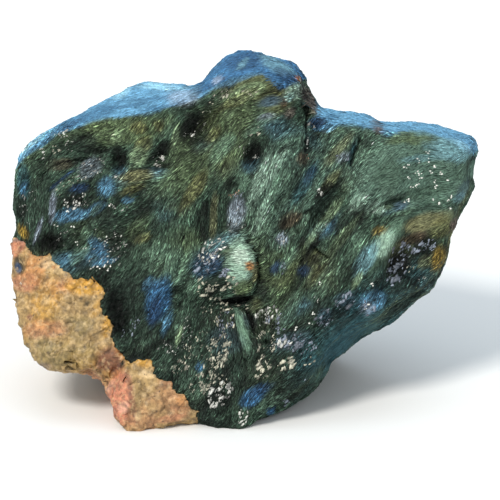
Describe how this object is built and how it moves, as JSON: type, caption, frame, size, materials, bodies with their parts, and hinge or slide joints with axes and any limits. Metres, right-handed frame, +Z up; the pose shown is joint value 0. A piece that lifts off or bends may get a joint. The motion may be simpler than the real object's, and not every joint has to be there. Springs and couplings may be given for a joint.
{
  "type": "rough actinolite",
  "caption": "Rough lump of felted green actinolite fibres with orange feldspar grown into its lower left corner, resting on a small flat spot.",
  "frame": {"origin": "on the plane of the flat spot that the stone rests on, below the middle of its box", "axes": "+Z up, +X to the right across the broad fibrous face, and -Y the way that face looks"},
  "size_m": [0.0698, 0.0436, 0.0503],
  "materials": {
    "actinolite": "satin",
    "feldspar": "satin"
  },
  "bodies": {
    "root": {"rough_actinolite": "actinolite"}
  },
  "joints": []
}
